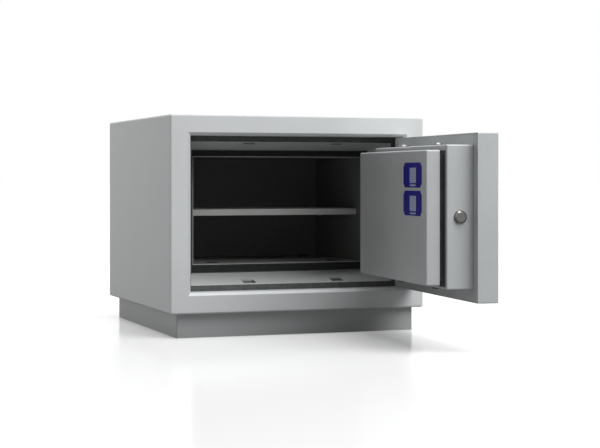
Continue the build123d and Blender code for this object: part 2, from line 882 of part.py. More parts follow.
made = []
for axis, way, wall, across in bolts:
    bolt = round_along(axis, wall, way, across, bolt_stub, -inner_end, bolt_radius)
    sort_axis = Axis.X if axis == "x" else Axis.Z
    rims = bolt.edges().filter_by(GeomType.CIRCLE).sort_by(sort_axis)
    bolt = chamfer(rims[0] if way < 0 else rims[-1], bolt_chamfer)
    made.append(bolt)
save("side_bolt", made[0], on_door=True)
save("top_bolts", *made[1:3], on_door=True)
save("bottom_bolts", *made[3:5], on_door=True)

# the side bolt's bar ends in a fork over the cam's pin
bar_z0 = handle_z + spindle_radius + 1
side_bar = block(
    lock_box[0] + inner_end, handle_x + pin_offset + pin_room + yoke_end,
    side_layer, side_layer + bar_sheet, bar_z0, bar_z0 + bar_height,
)
side_bar -= block(
    handle_x + pin_offset - pin_room, handle_x + pin_offset + pin_room,
    side_layer - 1, side_layer + bar_sheet + 1, bar_z0 - 1,
    handle_z + crank + pin_room,
)
save("side_bolt_bar", side_bar, on_door=True)

# the top and bottom pairs each have a cross bar and a tongue with a slot for its pin
slot_near = pin_offset - pin_room
slot_far = crank + pin_room
for name, way, wall in (
    ("top_bolt_bar", 1, lock_box[3]), ("bottom_bolt_bar", -1, lock_box[2])
):
    inner = wall - way * inner_end
    ends = sorted((inner, inner - way * cross_bar_height))
    bar = block(
        bolt_xs[0] - bolt_radius, bolt_xs[1] + bolt_radius,
        pair_layer, pair_layer + bar_sheet, *ends,
    )
    pin_z = handle_z - way * pin_offset
    ends = sorted((pin_z - way * (pin_room + yoke_wall), inner - way))
    near = handle_x + way * (slot_near - 2)
    width = sorted((near, handle_x + way * (slot_far + yoke_wall)))
    bar += block(*width, pair_layer, pair_layer + bar_sheet, *ends)
    slot_ends = sorted((handle_x + way * slot_near, handle_x + way * slot_far))
    bar -= block(
        *slot_ends, pair_layer - 1, pair_layer + bar_sheet + 1,
        pin_z - pin_room, pin_z + pin_room,
    )
    save(name, bar, on_door=True)

# ================================================================ handle, cam, keyhole

cam_start = bolt_axis_depth - cam_thick / 2
cam_end = cam_start + cam_thick
cam = rod("y", cam_start, cam_end, handle_x, handle_z, cam_radius)
cam -= rod("y", cam_start - 1, cam_end + 1, handle_x, handle_z, spindle_radius)
side_pin = rod(
    "y", side_layer - pin_past_bar, cam_start,
    handle_x + pin_offset, handle_z + pin_offset, cam_pin_radius,
)
top_pin = rod(
    "y", cam_end, pair_layer + bar_sheet + pin_past_bar,
    handle_x + pin_offset, handle_z - pin_offset, cam_pin_radius,
)
bottom_pin = rod(
    "y", cam_end, pair_layer + bar_sheet + pin_past_bar,
    handle_x - pin_offset, handle_z + pin_offset, cam_pin_radius,
)
save("bolt_cam", cam + side_pin + top_pin + bottom_pin, on_door=True)
hub_start = -rose_thick - cover_gap - hub_length
spindle_start = -rose_thick - cover_gap - spindle_in_hub
spindle = rod("y", spindle_start, cam_end, handle_x, handle_z, spindle_radius)
save("handle_spindle", spindle, on_door=True)

rose = rod("y", -rose_thick, 0, handle_x, handle_z, rose_radius)
rose = chamfer(rose.edges().group_by(Axis.Y)[0], 1.5)
rose -= rod("y", -rose_thick - 1, 1, handle_x, handle_z, spindle_radius + fill_gap)
save("handle_rose", rose, on_door=True)

hub = rod("y", hub_start, -rose_thick - cover_gap, handle_x, handle_z, hub_radius)
hub = fillet(hub.edges().group_by(Axis.Y)[0], 3)
lever_y0 = hub_start + lever_in_hub
lever = block(
    handle_x - lever_width / 2, handle_x + lever_width / 2,
    lever_y0, lever_y0 + lever_thick, handle_z - lever_length, handle_z,
)
lever = fillet(lever.edges().filter_by(Axis.Z), 4)
lever = fillet(lever.edges().group_by(Axis.Z)[0], 3.5)
lever += hub
lever -= rod("y", spindle_start, 0, handle_x, handle_z, spindle_radius)
save("handle_lever", lever, on_door=True)

escutcheon = block(
    handle_x - escutcheon_width / 2, handle_x + escutcheon_width / 2,
    -escutcheon_thick, 0, key_z - escutcheon_height / 2, key_z + escutcheon_height / 2,
)
escutcheon = fillet(escutcheon.edges().filter_by(Axis.Y), 5)
escutcheon -= rod("y", -escutcheon_thick - 1, 1, handle_x, key_z, key_radius)
escutcheon -= block(
    handle_x - keyhole_slot_half, handle_x + keyhole_slot_half,
    -escutcheon_thick - 1, 1, key_z - keyhole_slot_length, key_z,
)
save("key_escutcheon", escutcheon, on_door=True)

cover_pivot_z = key_z + cover_pivot_above_key
cover_y1 = -escutcheon_thick - cover_gap
cover_y0 = cover_y1 - cover_thick
rivet_y0 = cover_y0 - cover_gap
rivet = rod("y", rivet_y0, -escutcheon_thick, handle_x, cover_pivot_z, rivet_radius)
rivet += rod(
    "y", rivet_y0 - rivet_head, rivet_y0, handle_x, cover_pivot_z, rivet_head_radius
)
save("cover_rivet", rivet, on_door=True)
disc_z = key_z - cover_disc_below_key
cover = rod("y", cover_y0, cover_y1, handle_x, cover_pivot_z, cover_eye_radius)
cover += rod("y", cover_y0, cover_y1, handle_x, disc_z, cover_disc_radius)
cover += block(
    handle_x - cover_eye_radius, handle_x + cover_eye_radius,
    cover_y0, cover_y1, disc_z, cover_pivot_z,
)
cover -= rod(
    "y", cover_y0 - 1, cover_y1 + 1, handle_x, cover_pivot_z, rivet_radius + running_gap
)
save("keyhole_cover", cover, on_door=True)
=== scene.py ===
import json
from math import cos, pi, radians, sin

import bmesh
import bpy
from mathutils import Matrix, Vector


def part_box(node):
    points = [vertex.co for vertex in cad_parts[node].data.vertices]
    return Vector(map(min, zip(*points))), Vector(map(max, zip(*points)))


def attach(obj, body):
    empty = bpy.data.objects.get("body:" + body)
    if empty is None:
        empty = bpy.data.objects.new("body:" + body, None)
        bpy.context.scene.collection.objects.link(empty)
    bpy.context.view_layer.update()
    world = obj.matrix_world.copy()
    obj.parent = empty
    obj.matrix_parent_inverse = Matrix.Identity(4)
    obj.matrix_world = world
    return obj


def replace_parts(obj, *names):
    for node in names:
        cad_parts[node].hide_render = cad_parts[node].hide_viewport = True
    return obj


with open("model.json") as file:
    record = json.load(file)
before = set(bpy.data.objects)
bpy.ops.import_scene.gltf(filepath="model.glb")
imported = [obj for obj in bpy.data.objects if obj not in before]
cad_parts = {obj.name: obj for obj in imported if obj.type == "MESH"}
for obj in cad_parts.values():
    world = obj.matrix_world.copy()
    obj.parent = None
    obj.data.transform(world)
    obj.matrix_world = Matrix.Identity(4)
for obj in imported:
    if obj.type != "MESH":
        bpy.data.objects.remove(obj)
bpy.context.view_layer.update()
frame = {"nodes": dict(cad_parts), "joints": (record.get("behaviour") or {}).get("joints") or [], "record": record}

# ---- Plinth -------------------------------------------------------------------
# A folded steel skirt, set back under the body and bolted up into it, with two flat
# crossbars for the floor anchors. Powder coated a darker grey than the body.


def powder_coat(name, colour, roughness, peel=0.12, mottle=0.03):
    """Baked powder paint: a fine orange peel, a slow drift in tone, uneven gloss."""
    gloss_change = 0.06
    paint = bpy.data.materials.new(name)
    paint.use_nodes = True
    tree = paint.node_tree
    shader = tree.nodes["Principled BSDF"]
    shader.inputs["Specular IOR Level"].default_value = 0.28
    place = tree.nodes.new("ShaderNodeTexCoord")
    drift = tree.nodes.new("ShaderNodeTexNoise")
    drift.inputs["Scale"].default_value = 6.0
    drift.inputs["Detail"].default_value = 4.0
    tone = tree.nodes.new("ShaderNodeValToRGB")
    tone.color_ramp.elements[0].position = 0.3
    tone.color_ramp.elements[0].color = (*(c * (1 - mottle) for c in colour), 1)
    tone.color_ramp.elements[1].position = 0.7
    tone.color_ramp.elements[1].color = (*(c * (1 + mottle) for c in colour), 1)
    grain = tree.nodes.new("ShaderNodeTexNoise")
    grain.inputs["Scale"].default_value = 650.0
    grain.inputs["Detail"].default_value = 2.0
    bump = tree.nodes.new("ShaderNodeBump")
    bump.inputs["Strength"].default_value = peel
    bump.inputs["Distance"].default_value = 0.0004
    gloss = tree.nodes.new("ShaderNodeMapRange")
    gloss.inputs["To Min"].default_value = roughness - gloss_change
    gloss.inputs["To Max"].default_value = roughness + gloss_change
    link = tree.links.new
    for noise in (drift, grain):
        link(place.outputs["Object"], noise.inputs["Vector"])
    link(drift.outputs["Fac"], tone.inputs["Fac"])
    link(tone.outputs["Color"], shader.inputs["Base Color"])
    link(grain.outputs["Fac"], bump.inputs["Height"])
    link(bump.outputs["Normal"], shader.inputs["Normal"])
    link(drift.outputs["Fac"], gloss.inputs["Value"])
    link(gloss.outputs["Result"], shader.inputs["Roughness"])
    return paint


def machined_steel(
    name, colour, roughness, stretch=(60.0, 60.0, 900.0), bloom_change=0.15,
    line_depth=0.12,
):
    """Worked metal: fine tool lines, a faint oily bloom, gloss that varies with the lines."""
    metal = bpy.data.materials.new(name)
    metal.use_nodes = True
    tree = metal.node_tree
    shader = tree.nodes["Principled BSDF"]
    shader.inputs["Metallic"].default_value = 1.0
    place = tree.nodes.new("ShaderNodeTexCoord")
    pull = tree.nodes.new("ShaderNodeMapping")
    pull.inputs["Scale"].default_value = stretch
    lines = tree.nodes.new("ShaderNodeTexNoise")
    lines.inputs["Scale"].default_value = 1.0
    lines.inputs["Detail"].default_value = 3.0
    bloom = tree.nodes.new("ShaderNodeTexNoise")
    bloom.inputs["Scale"].default_value = 45.0
    tone = tree.nodes.new("ShaderNodeValToRGB")
    tone.color_ramp.elements[0].color = (*(c * (1 - bloom_change) for c in colour), 1)
    tone.color_ramp.elements[1].color = (*(c * (1 + bloom_change) for c in colour), 1)
    gloss = tree.nodes.new("ShaderNodeMapRange")
    gloss.inputs["To Min"].default_value = roughness - 0.08
    gloss.inputs["To Max"].default_value = roughness + 0.12
    bump = tree.nodes.new("ShaderNodeBump")
    bump.inputs["Strength"].default_value = line_depth
    bump.inputs["Distance"].default_value = 0.0003
    link = tree.links.new
    link(place.outputs["Object"], pull.inputs["Vector"])
    link(pull.outputs["Vector"], lines.inputs["Vector"])
    link(place.outputs["Object"], bloom.inputs["Vector"])
    link(bloom.outputs["Fac"], tone.inputs["Fac"])
    link(tone.outputs["Color"], shader.inputs["Base Color"])
    link(lines.outputs["Fac"], gloss.inputs["Value"])
    link(gloss.outputs["Result"], shader.inputs["Roughness"])
    link(lines.outputs["Fac"], bump.inputs["Height"])
    link(bump.outputs["Normal"], shader.inputs["Normal"])
    return metal


def finish_nodes(material, *names):
    """Gives carried CAD pieces their finish."""
    for name in names:
        mesh = frame["nodes"][name].data
        mesh.materials.clear()
        mesh.materials.append(material)


def add_piece(name, mesh, material, node):
    """Puts a finished mesh in the scene, on the body that holds a CAD piece."""
    mesh.materials.clear()
    mesh.materials.append(material)
    piece = bpy.data.objects.new(name, mesh)
    bpy.context.scene.collection.objects.link(piece)
    bodies = frame["record"]["behaviour"]["bodies"]
    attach(piece, next(body for body, held in bodies.items() if node in held))
    return piece


def soften(node, name, width, material):
    """A CAD piece with its sharp edges rounded, in the finish given, standing for it."""
    same_point = 0.000002
    flat_enough = radians(0.6)
    sharp_edge = radians(35)
    form = bmesh.new()
    form.from_mesh(frame["nodes"][node].data)
    bmesh.ops.remove_doubles(form, verts=form.verts, dist=same_point)
    bmesh.ops.dissolve_limit(
        form, angle_limit=flat_enough, verts=form.verts, edges=form.edges
    )
    rough = bpy.data.meshes.new(name + "_rough")
    form.to_mesh(rough)
    form.free()
    rough.polygons.foreach_set("use_smooth", [True] * len(rough.polygons))
    holder = bpy.data.objects.new(name + "_rough", rough)
    bpy.context.scene.collection.objects.link(holder)
    rounding = holder.modifiers.new("rounding", "BEVEL")
    rounding.width = width
    rounding.segments = 3
    rounding.limit_method = "ANGLE"
    rounding.angle_limit = sharp_edge
    even_faces = holder.modifiers.new("even_faces", "WEIGHTED_NORMAL")
    even_faces.weight = 100
    seen = holder.evaluated_get(bpy.context.evaluated_depsgraph_get())
    mesh = bpy.data.meshes.new_from_object(seen)
    mesh.name = name
    bpy.data.objects.remove(holder)
    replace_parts(add_piece(name, mesh, material, node), node)


plinth_paint = powder_coat("plinth_grey_powder_coat", (0.50, 0.51, 0.515), 0.45)
soften("plinth_frame", "plinth_skirt", 0.0008, plinth_paint)
soften("plinth_crossbars", "anchor_crossbars", 0.0006, plinth_paint)
plinth_zinc = machined_steel("plinth_bolt_zinc", (0.60, 0.60, 0.56), 0.38)
finish_nodes(plinth_zinc, "plinth_bolts", "plinth_nuts")

# ---- Floor anchors ------------------------------------------------------------
# Four steel tubes that lead a bolt down from the inner floor to the crossbars, each
# closed at the top by a pressed-in black plastic cap.

anchor_zinc = machined_steel("anchor_tube_zinc", (0.58, 0.58, 0.54), 0.42)
finish_nodes(anchor_zinc, "anchor_tubes")
cap_plastic = powder_coat("cap_black_plastic", (0.03, 0.03, 0.031), 0.5, peel=0.2)
soften("anchor_caps", "anchor_tube_caps", 0.0005, cap_plastic)

# ---- Outer shell --------------------------------------------------------------
# Two-millimetre sheet folded round the body, with small radii at its front corners
# and edges, powder coated a light grey. The back sheet is set in and spot welded.

shell_paint = powder_coat("body_light_grey_powder_coat", (0.715, 0.735, 0.74), 0.42)
soften("outer_shell", "folded_shell", 0.0005, shell_paint)


def spot_row_tree():
    """Geometry nodes: a straight row of spot welds, evenly pitched from a first place."""
    tree = bpy.data.node_groups.new("spot_row", "GeometryNodeTree")
    face = tree.interface
    face.new_socket("Geometry", in_out="INPUT", socket_type="NodeSocketGeometry")
    for name, kind in (
        ("First", "NodeSocketVector"), ("Pitch", "NodeSocketVector"),
        ("Count", "NodeSocketInt"), ("Radius", "NodeSocketFloat"),
        ("Height", "NodeSocketFloat"), ("Finish", "NodeSocketMaterial"),
    ):
        face.new_socket(name, in_out="INPUT", socket_type=kind)
    face.new_socket("Geometry", in_out="OUTPUT", socket_type="NodeSocketGeometry")
    make = tree.nodes.new
    given = make("NodeGroupInput")
    out = make("NodeGroupOutput")
    row = make("GeometryNodeMeshLine")
    spot = make("GeometryNodeMeshCylinder")
    spot.inputs["Vertices"].default_value = 20
    turn = make("GeometryNodeTransform")
    turn.inputs["Rotation"].default_value = (radians(90), 0, 0)
    copies = make("GeometryNodeInstanceOnPoints")
    real = make("GeometryNodeRealizeInstances")
    paint = make("GeometryNodeSetMaterial")
    link = tree.links.new
    link(given.outputs["Count"], row.inputs["Count"])
    link(given.outputs["First"], row.inputs["Start Location"])
    link(given.outputs["Pitch"], row.inputs["Offset"])
    link(given.outputs["Radius"], spot.inputs["Radius"])
    link(given.outputs["Height"], spot.inputs["Depth"])
    link(spot.outputs["Mesh"], turn.inputs["Geometry"])
    link(row.outputs["Mesh"], copies.inputs["Points"])
    link(turn.outputs["Geometry"], copies.inputs["Instance"])
    link(copies.outputs["Instances"], real.inputs["Geometry"])
    link(real.outputs["Geometry"], paint.inputs["Geometry"])
    link(given.outputs["Finish"], paint.inputs["Material"])
    link(paint.outputs["Geometry"], out.inputs["Geometry"])
    return tree


def grown(tree, name, **values):
    """The mesh that a geometry nodes group makes with these inputs."""
    holder = bpy.data.objects.new(name, bpy.data.meshes.new(name + "_seed"))
    bpy.context.scene.collection.objects.link(holder)
    making = holder.modifiers.new("making", "NODES")
    making.node_group = tree
    for item in tree.interface.items_tree:
        if item.in_out == "INPUT" and item.name in values:
            making[item.identifier] = values[item.name]
    bpy.context.view_layer.update()
    seen = holder.evaluated_get(bpy.context.evaluated_depsgraph_get())
    mesh = bpy.data.meshes.new_from_object(seen)
    mesh.name = name
    holder.modifiers.remove(making)
    bpy.data.objects.remove(holder)
    return mesh


back_low, back_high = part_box("back_panel")
spot_rise = 0.0006
spot_y = back_high[1] - spot_rise
sheet_ends = tuple(zip(back_low, (back_high[0], spot_y, back_high[2])))
sheet_rounding = 0.0006
sheet = bmesh.new()
bmesh.ops.create_cube(sheet, size=1.0)
for corner in sheet.verts:
    corner.co = Vector(ends[corner.co[k] > 0] for k, ends in enumerate(sheet_ends))
bmesh.ops.bevel(
    sheet, geom=sheet.edges[:], offset=sheet_rounding, segments=2, affect="EDGES"
)
back_mesh = bpy.data.meshes.new("back_sheet")
sheet.to_mesh(back_mesh)
sheet.free()
back_sheet = add_piece(
    "back_sheet", back_mesh, shell_paint, "back_panel"
)
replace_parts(back_sheet, "back_panel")
spot_inset = 0.012
spots_across = 13
spots_down = 9
spot_radius = 0.0045
spot_height = 1.6 * spot_rise
spot_x0, spot_x1 = back_low[0] + spot_inset, back_high[0] - spot_inset
spot_z0, spot_z1 = back_low[2] + spot_inset, back_high[2] - spot_inset
step_x = (spot_x1 - spot_x0) / (spots_across - 1)
step_z = (spot_z1 - spot_z0) / (spots_down - 1)
spot_tree = spot_row_tree()
for name, first_x, first_z, pitch, count in (
    ("spot_row_low", spot_x0, spot_z0, (step_x, 0, 0), spots_across),
    ("spot_row_high", spot_x0, spot_z1, (step_x, 0, 0), spots_across),
    ("spot_row_left", spot_x1, spot_z0 + step_z, (0, 0, step_z), spots_down - 2),
    ("spot_row_right", spot_x0, spot_z0 + step_z, (0, 0, step_z), spots_down - 2),
):
    mesh = grown(
        spot_tree, name, First=(first_x, spot_y, first_z), Pitch=pitch, Count=count,
        Radius=spot_radius, Height=spot_height, Finish=shell_paint,
    )
    add_piece(name, mesh, shell_paint, "back_panel")

# ---- Front frame --------------------------------------------------------------
# The folded frame round the mouth: a bevelled rim, a ledge for the leaf, then a long
# slope with slots for the five bolts and plated keeper boxes behind. Deeper than the ledge the grey is darker:
# painted shade of the recess.

frame_paint = powder_coat("frame_light_grey_powder_coat", (0.70, 0.72, 0.725), 0.40)
coat = frame_paint.node_tree
front_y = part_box("outer_shell")[0][1]
coat_place = coat.nodes.new("ShaderNodeTexCoord")
coat_axes = coat.nodes.new("ShaderNodeSeparateXYZ")
# Deeper than the ledge the frame's grey turns darker: painted shade of the recessed mouth.
recess_shade_mask = coat.nodes.new("ShaderNodeMapRange")
recess_shade_mask.inputs["From Min"].default_value = front_y + 0.0515
recess_shade_mask.inputs["From Max"].default_value = front_y + 0.0535
# The darker grey here is painted shade, mixed in past the ledge.
painted_recess_shade = coat.nodes.new("ShaderNodeMix")
painted_recess_shade.data_type = "RGBA"
painted_recess_shade.inputs["B"].default_value = (0.56, 0.57, 0.57, 1)
coat_colour = coat.nodes["Principled BSDF"].inputs["Base Color"]
coat_link = coat.links.new
unshaded_paint_colour = coat_colour.links[0].from_socket
coat_link(coat_place.outputs["Object"], coat_axes.inputs["Vector"])
coat_link(coat_axes.outputs["Y"], recess_shade_mask.inputs["Value"])
coat_link(recess_shade_mask.outputs["Result"], painted_recess_shade.inputs["Factor"])
coat_link(unshaded_paint_colour, painted_recess_shade.inputs["A"])
coat_link(painted_recess_shade.outputs["Result"], coat_colour)
soften("front_frame", "mouth_frame", 0.0009, frame_paint)
keeper_zinc = machined_steel("keeper_zinc", (0.24, 0.24, 0.23), 0.5)
finish_nodes(keeper_zinc, "bolt_keepers")

# ---- Frame seals --------------------------------------------------------------
# A black heat-swelling strip on the frame's last step, ribbed along its length, and a
# thin grey smoke strip stuck on the riser behind the leaf.


def strip_rubber(name, colour, roughness):
    """Extruded strip: a dusty matt skin with a fine grain."""
    rubber = bpy.data.materials.new(name)
    rubber.use_nodes = True
    tree = rubber.node_tree
    shader = tree.nodes["Principled BSDF"]
    shader.inputs["Specular IOR Level"].default_value = 0.25
    place = tree.nodes.new("ShaderNodeTexCoord")
    dust = tree.nodes.new("ShaderNodeTexNoise")
    dust.inputs["Scale"].default_value = 90.0
    dust.inputs["Detail"].default_value = 5.0
    tone = tree.nodes.new("ShaderNodeValToRGB")
    tone.color_ramp.elements[0].position = 0.35
    tone.color_ramp.elements[0].color = (*(c * 0.75 for c in colour), 1)
    tone.color_ramp.elements[1].color = (*(c * 1.35 for c in colour), 1)
    gloss = tree.nodes.new("ShaderNodeMapRange")
    gloss.inputs["To Min"].default_value = roughness - 0.1
    gloss.inputs["To Max"].default_value = roughness + 0.1
    bump = tree.nodes.new("ShaderNodeBump")
    bump.inputs["Strength"].default_value = 0.3
    bump.inputs["Distance"].default_value = 0.0004
    link = tree.links.new
    link(place.outputs["Object"], dust.inputs["Vector"])
    link(dust.outputs["Fac"], tone.inputs["Fac"])
    link(tone.outputs["Color"], shader.inputs["Base Color"])
    link(dust.outputs["Fac"], gloss.inputs["Value"])
    link(gloss.outputs["Result"], shader.inputs["Roughness"])
    link(dust.outputs["Fac"], bump.inputs["Height"])
    link(bump.outputs["Normal"], shader.inputs["Normal"])
    return rubber


def ring_mesh(name, profile, outline, widths):
    """A mitred strip round a rectangle (x0, x1, z0, z1), this wide at the sides, bottom
    and top. The profile's points are (share of the width inwards, depth)."""
    x0, x1, z0, z1 = outline
    side, bottom, top = widths
    form = bmesh.new()
    loops = []
    for share, depth in profile:
        left, right = x0 + share * side, x1 - share * side
        low, high = z0 + share * bottom, z1 - share * top
        corners = ((left, low), (right, low), (right, high), (left, high))
        loops.append([form.verts.new((x, depth, z)) for x, z in corners])
    for near, far in zip(loops, loops[1:] + loops[:1]):
        for n in range(4):
            m = (n + 1) % 4
            form.faces.new((near[n], near[m], far[m], far[n]))
    bmesh.ops.recalc_face_normals(form, faces=form.faces)
    mesh = bpy.data.meshes.new(name)
    form.to_mesh(mesh)
    form.free()
    return mesh


seal_black = strip_rubber("seal_black_strip", (0.028, 0.029, 0.030), 0.75)
seal_low, seal_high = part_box("frame_seal")
liner_low, liner_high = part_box("inner_liner")
seal_widths = (
    liner_low[0] - seal_low[0], liner_low[2] - seal_low[2], seal_high[2] - liner_high[2]
)
groove = 0.0012
rib_count = 3
rib_shoulder = 0.12
seal_profile = [(0.0, seal_high[1]), (0.0, seal_low[1] + groove)]
for rib in range(rib_count):
    seal_profile += [
        ((rib + rib_shoulder) / rib_count, seal_low[1]),
        ((rib + 1 - rib_shoulder) / rib_count, seal_low[1]),
        ((rib + 1) / rib_count, seal_low[1] + groove),
    ]
seal_profile += [(1.0, seal_high[1])]
seal_mesh = ring_mesh(
    "swelling_strip", seal_profile,
    (seal_low[0], seal_high[0], seal_low[2], seal_high[2]), seal_widths,
)
swelling_strip = add_piece(
    "swelling_strip", seal_mesh, seal_black, "frame_seal"
)
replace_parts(swelling_strip, "frame_seal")

smoke_grey = strip_rubber("smoke_strip_grey", (0.12, 0.125, 0.12), 0.7)
body_low, body_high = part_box("outer_shell")
mouth_side = 0.0472
mouth_level = 0.0458
riser_depth = body_low[1] + 0.050
riser_height = 0.0138
smoke_face = riser_depth - 0.002
smoke_shoulder = riser_depth - 0.0014
smoke_profile = [
    (0.05, riser_depth), (0.05, smoke_shoulder), (0.12, smoke_face),
    (0.88, smoke_face), (0.95, smoke_shoulder), (0.95, riser_depth),
]
smoke_mesh = ring_mesh("smoke_strip", smoke_profile, (
    body_low[0] + mouth_side, body_high[0] - mouth_side,
    body_low[2] + mouth_level, body_high[2] - mouth_level,
), (riser_height, riser_height, riser_height))
add_piece("smoke_strip", smoke_mesh, smoke_grey, "frame_seal")

# ---- Fire boards --------------------------------------------------------------
# Cast mineral boards that fill the walls, the frame and the door. Chalky, with small
# pores, and out of sight in the closed steelwork.


def mineral_board(name, colour):
    """Dry cast board: pores, a chalky mottle, no gloss."""
    board = bpy.data.materials.new(name)
    board.use_nodes = True
    tree = board.node_tree
    shader = tree.nodes["Principled BSDF"]
    shader.inputs["Roughness"].default_value = 0.95
    place = tree.nodes.new("ShaderNodeTexCoord")
    mottle = tree.nodes.new("ShaderNodeTexNoise")
    mottle.inputs["Scale"].default_value = 30.0
    mottle.inputs["Detail"].default_value = 6.0
    pores = tree.nodes.new("ShaderNodeTexVoronoi")
    pores.inputs["Scale"].default_value = 260.0
    tone = tree.nodes.new("ShaderNodeValToRGB")
    tone.color_ramp.elements[0].color = (*(c * 0.8 for c in colour), 1)
    tone.color_ramp.elements[1].color = (*(min(1.0, c * 1.15) for c in colour), 1)
    bump = tree.nodes.new("ShaderNodeBump")
    bump.inputs["Strength"].default_value = 0.4
    bump.inputs["Distance"].default_value = 0.001
    link = tree.links.new
    link(place.outputs["Object"], mottle.inputs["Vector"])
    link(place.outputs["Object"], pores.inputs["Vector"])
    link(mottle.outputs["Fac"], tone.inputs["Fac"])
    link(tone.outputs["Color"], shader.inputs["Base Color"])
    link(pores.outputs["Distance"], bump.inputs["Height"])
    link(bump.outputs["Normal"], shader.inputs["Normal"])
    return board


board_white = mineral_board("fire_board_mineral", (0.72, 0.70, 0.65))
finish_nodes(
    board_white, "frame_board_top", "frame_board_bottom", "frame_board_left",
    "frame_board_right", "fire_board_top", "fire_board_bottom", "fire_board_left",
    "fire_board_right", "fire_board_back", "leaf_fire_board", "break_board",
    "inner_fire_board",
)

# ---- Inner liner --------------------------------------------------------------
# The thin steel box inside the insulation, open to the front, coated a dark grey.
# Four plain steel studs in its side walls carry the shelf.

liner_paint = powder_coat("liner_dark_grey_powder_coat", (0.175, 0.177, 0.172), 0.5)
soften("inner_liner", "liner_box", 0.0006, liner_paint)
stud_zinc = machined_steel("stud_zinc", (0.55, 0.55, 0.52), 0.38)
soften("shelf_studs", "shelf_rest_studs", 0.0008, stud_zinc)

# ---- Shelf --------------------------------------------------------------------
# One sheet with all four edges folded down, lying loose on the studs.

shelf_paint = powder_coat("shelf_grey_powder_coat", (0.46, 0.453, 0.445), 0.45)
soften("shelf", "shelf_tray", 0.0008, shelf_paint)

# ---- Hinges -------------------------------------------------------------------
# Two concealed steel hinges in pockets of the frame. Their knuckles are powder coated a
# light grey and turn on bare steel pins.

hinge_paint = powder_coat("hinge_light_grey_powder_coat", (0.68, 0.70, 0.705), 0.45)
for node, name, slot in (
    ("hinge_frame_knuckles", "hinge_knuckles_on_frame", "body_paint"),
    ("hinge_door_knuckles", "hinge_knuckles_on_door", "door_paint"),
):
    soften(node, name, 0.0006, hinge_paint)
pin_steel = machined_steel("hinge_pin_steel", (0.55, 0.54, 0.52), 0.3)
finish_nodes(pin_steel, "hinge_pins")

# ---- Door leaf ----------------------------------------------------------------
# A pressed front panel with a folded edge, closed behind by a steel plate, and the
# shallow inner boxes that step back from it, painted a shade darker than the body.

door_paint = powder_coat("door_light_grey_powder_coat", (0.545, 0.565, 0.57), 0.42)
soften("door_front_panel", "leaf_panel", 0.0008, door_paint)
soften("door_back_plate", "leaf_back_plate", 0.0006, door_paint)
soften("lock_box", "bolt_work_box", 0.0006, door_paint)
soften("inner_door_box", "inner_box", 0.0006, door_paint)

# ---- Door's thermal break -----------------------------------------------------
# A recessed board between the two boxes of the door, edged all round by the same
# black swelling strip as the frame. A thin flat strip is glued round it, on the larger
# box's face.

break_black = strip_rubber("break_black_strip", (0.10, 0.105, 0.108), 0.7)
soften("break_seal", "break_strip", 0.0008, break_black)
swing = next(j for j in frame["joints"] if j["name"] == "door_swing")
pivot = Vector(swing["pos_m"])
shut_to_open = (
    Matrix.Translation(pivot)
    @ Matrix.Rotation(radians(-swing["range_deg"][0]), 4, "Z")
    @ Matrix.Translation(-pivot)
)


def shut_box(node):
    """A door piece's lowest and highest corners with the door shut."""
    back = shut_to_open.inverted()
    points = [back @ v.co for v in frame["nodes"][node].data.vertices]
    low = [min(p[k] for p in points) for k in range(3)]
    high = [max(p[k] for p in points) for k in range(3)]
    return low, high


strip_low, strip_high = shut_box("break_seal")
rim_gap = 0.0006
rim_side, rim_bottom, rim_top = 0.0124, 0.0100, 0.0066
rim_base = shut_box("lock_box")[1][1]
rim_shoulder = rim_base + 0.0006
rim_face = rim_base + 0.0008
rim_profile = [
    (0.0, rim_base), (0.0, rim_shoulder), (0.06, rim_face),
    (0.94, rim_face), (1.0, rim_shoulder), (1.0, rim_base),
]
rim_mesh = ring_mesh("break_rim_strip", rim_profile, (
    strip_low[0] - rim_gap - rim_side, strip_high[0] + rim_gap + rim_side,
    strip_low[2] - rim_gap - rim_bottom, strip_high[2] + rim_gap + rim_top,
), (rim_side, rim_bottom, rim_top))
rim_mesh.transform(shut_to_open)
add_piece("break_rim_strip", rim_mesh, break_black, "break_seal")

# ---- Rating plates ------------------------------------------------------------
# Two blank metal plates on the door's inner box, printed dark blue, with scooped
# corners and a pale ruled field. Nothing is written on them.


def ruled_field_tree():
    """Geometry nodes: thin bars side by side, ruled across a field."""
    tree = bpy.data.node_groups.new("ruled_field", "GeometryNodeTree")
    face = tree.interface
    face.new_socket("Geometry", in_out="INPUT", socket_type="NodeSocketGeometry")
    for name, kind in (
        ("First", "NodeSocketVector"), ("Pitch", "NodeSocketVector"),
        ("Count", "NodeSocketInt"), ("Bar", "NodeSocketVector"),
        ("Ink", "NodeSocketMaterial"),
    ):
        face.new_socket(name, in_out="INPUT", socket_type=kind)
    face.new_socket("Geometry", in_out="OUTPUT", socket_type="NodeSocketGeometry")
    make = tree.nodes.new
    given = make("NodeGroupInput")
    out = make("NodeGroupOutput")
    row = make("GeometryNodeMeshLine")
    bar = make("GeometryNodeMeshCube")
    copies = make("GeometryNodeInstanceOnPoints")
    real = make("GeometryNodeRealizeInstances")
    ink = make("GeometryNodeSetMaterial")
    link = tree.links.new
    link(given.outputs["Count"], row.inputs["Count"])
    link(given.outputs["First"], row.inputs["Start Location"])
    link(given.outputs["Pitch"], row.inputs["Offset"])
    link(given.outputs["Bar"], bar.inputs["Size"])
    link(row.outputs["Mesh"], copies.inputs["Points"])
    link(bar.outputs["Mesh"], copies.inputs["Instance"])
    link(copies.outputs["Instances"], real.inputs["Geometry"])
    link(real.outputs["Geometry"], ink.inputs["Geometry"])
    link(given.outputs["Ink"], ink.inputs["Material"])
    link(ink.outputs["Geometry"], out.inputs["Geometry"])
    return tree


